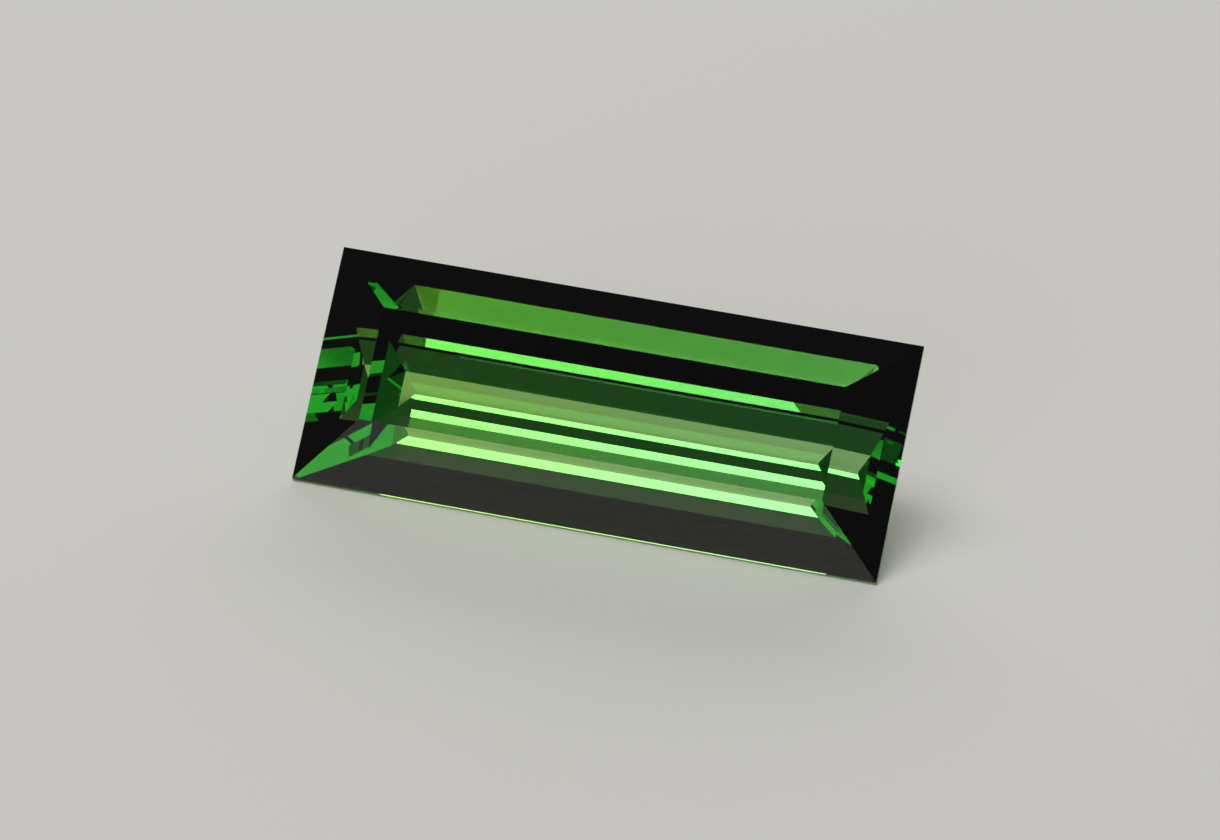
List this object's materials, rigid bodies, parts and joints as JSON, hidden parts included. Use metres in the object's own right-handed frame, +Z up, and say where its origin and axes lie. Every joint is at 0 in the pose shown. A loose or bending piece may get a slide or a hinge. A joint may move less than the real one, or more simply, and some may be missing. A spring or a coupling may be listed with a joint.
{
  "type": "cut tourmaline gemstone, long rectangular step cut",
  "caption": "Clear green tourmaline cut as a long rectangular step cut with a flat table, one crown step and a stepped pavilion with a keel, lying on its pavilion.",
  "frame": {"origin": "on the resting surface, under the middle of the stone's bounding box", "axes": "+X along the stone's length, +Z up from the resting surface; the table leans towards -Y"},
  "size_m": [0.016, 0.005, 0.0052],
  "materials": {
    "green_tourmaline": "polished clear green crystal"
  },
  "bodies": {
    "root": {"tourmaline": "green_tourmaline"}
  },
  "joints": []
}
